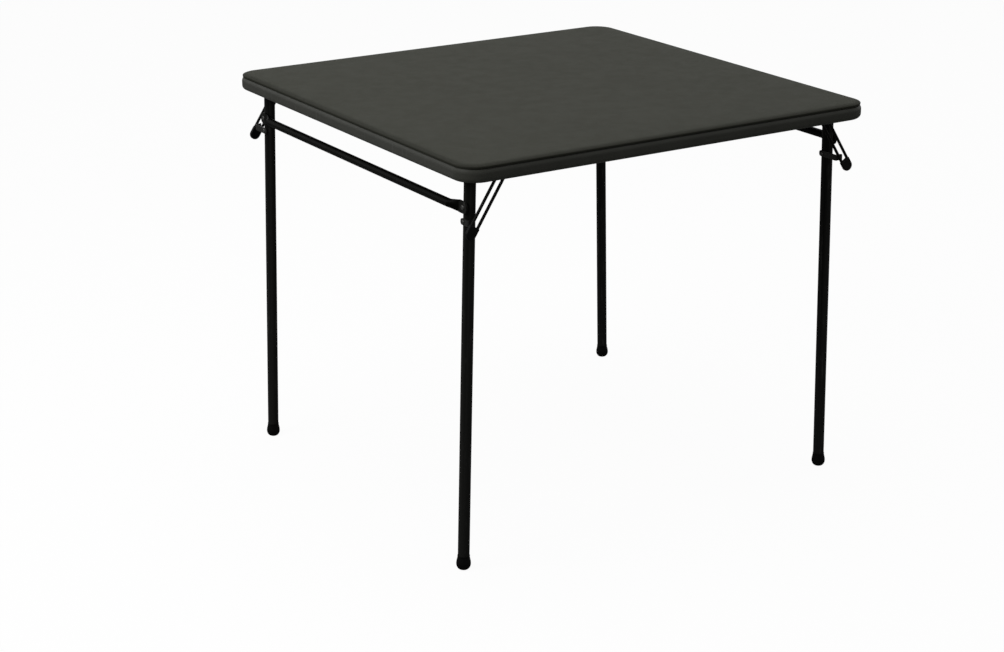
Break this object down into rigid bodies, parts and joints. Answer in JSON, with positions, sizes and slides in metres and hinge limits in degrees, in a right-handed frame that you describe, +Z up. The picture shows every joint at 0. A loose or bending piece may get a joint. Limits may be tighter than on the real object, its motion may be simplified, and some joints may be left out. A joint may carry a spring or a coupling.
{
  "type": "folding card table",
  "caption": "Square folding card table with a padded vinyl top, tubular legs in hinged pairs joined by crossbars, and slotted wire braces that lock them.",
  "frame": {"origin": "on the floor under the middle of the top", "axes": "+Z up, +X along the front edge to the right, +Y towards the back edge"},
  "size_m": [0.8662, 0.8534, 0.7366],
  "materials": {
    "vinyl_cover": "soft matt vinyl",
    "foam_pad": "open foam",
    "hardboard": "bare hardboard",
    "rail_paint": "satin enamel",
    "leg_paint": "satin enamel",
    "bracket_paint": "satin enamel",
    "brace_paint": "satin enamel",
    "fastener_steel": "dark plated steel",
    "foot_rubber": "matt rubber",
    "grip_plastic": "soft matt plastic"
  },
  "bodies": {
    "top": {"top_cover": "vinyl_cover", "top_pad": "foam_pad", "top_panel": "hardboard", "rail_left": "rail_paint", "rail_right": "rail_paint", "rail_front": "rail_paint", "rail_back": "rail_paint", "frame_screws": "fastener_steel", "hinge_pins": "fastener_steel", "stop_pins": "fastener_steel", "brace_pins": "fastener_steel", "bracket_rivets": "fastener_steel", "corner_plate_front_left": "bracket_paint", "hinge_bracket_front_left": "bracket_paint", "brace_bracket_front_left": "bracket_paint", "corner_plate_back_left": "bracket_paint", "hinge_bracket_back_left": "bracket_paint", "brace_bracket_back_left": "bracket_paint", "corner_plate_front_right": "bracket_paint", "hinge_bracket_front_right": "bracket_paint", "brace_bracket_front_right": "bracket_paint", "corner_plate_back_right": "bracket_paint", "hinge_bracket_back_right": "bracket_paint", "brace_bracket_back_right": "bracket_paint"},
    "left_legs": {"leg_front_left": "leg_paint", "foot_cap_front_left": "foot_rubber", "brace_strap_front_left": "brace_paint", "leg_back_left": "leg_paint", "foot_cap_back_left": "foot_rubber", "brace_strap_back_left": "brace_paint", "crossbar_left": "leg_paint", "hinge_sleeves_left": "fastener_steel", "crossbar_rivets_left": "fastener_steel", "strap_rivets_left": "fastener_steel"},
    "right_legs": {"leg_front_right": "leg_paint", "foot_cap_front_right": "foot_rubber", "brace_strap_front_right": "brace_paint", "leg_back_right": "leg_paint", "foot_cap_back_right": "foot_rubber", "brace_strap_back_right": "brace_paint", "crossbar_right": "leg_paint", "hinge_sleeves_right": "fastener_steel", "crossbar_rivets_right": "fastener_steel", "strap_rivets_right": "fastener_steel"},
    "brace_front_left": {"brace_loop_front_left": "brace_paint", "brace_grip_front_left": "grip_plastic"},
    "brace_back_left": {"brace_loop_back_left": "brace_paint", "brace_grip_back_left": "grip_plastic"},
    "brace_front_right": {"brace_loop_front_right": "brace_paint", "brace_grip_front_right": "grip_plastic"},
    "brace_back_right": {"brace_loop_back_right": "brace_paint", "brace_grip_back_right": "grip_plastic"}
  },
  "joints": [
    {"name": "fold_left", "type": "hinge", "parent": "top", "child": "left_legs", "pos_m": [-0.39505, 0, 0.7148], "axis": [0, -1, 0], "range_deg": [0, 91.1]},
    {"name": "fold_right", "type": "hinge", "parent": "top", "child": "right_legs", "pos_m": [0.39505, 0, 0.7148], "axis": [0, 1, 0], "range_deg": [0, 91.6]},
    {"name": "brace_front_left_swing", "type": "hinge", "parent": "top", "child": "brace_front_left", "pos_m": [-0.34205, -0.3987, 0.7156], "axis": [0, -1, 0], "range_deg": [0, 120.49]},
    {"name": "brace_back_left_swing", "type": "hinge", "parent": "top", "child": "brace_back_left", "pos_m": [-0.34205, 0.3987, 0.7156], "axis": [0, -1, 0], "range_deg": [0, 120.49]},
    {"name": "brace_front_right_swing", "type": "hinge", "parent": "top", "child": "brace_front_right", "pos_m": [0.34205, -0.3987, 0.7156], "axis": [0, 1, 0], "range_deg": [0, 121.82]},
    {"name": "brace_back_right_swing", "type": "hinge", "parent": "top", "child": "brace_back_right", "pos_m": [0.34205, 0.3987, 0.7156], "axis": [0, 1, 0], "range_deg": [0, 121.82]}
  ],
  "couplings": [
    {"joint": "brace_front_left_swing", "follows": "fold_left", "ratio": 1.3225},
    {"joint": "brace_back_left_swing", "follows": "fold_left", "ratio": 1.3225},
    {"joint": "brace_front_right_swing", "follows": "fold_right", "ratio": 1.3297},
    {"joint": "brace_back_right_swing", "follows": "fold_right", "ratio": 1.3297}
  ]
}
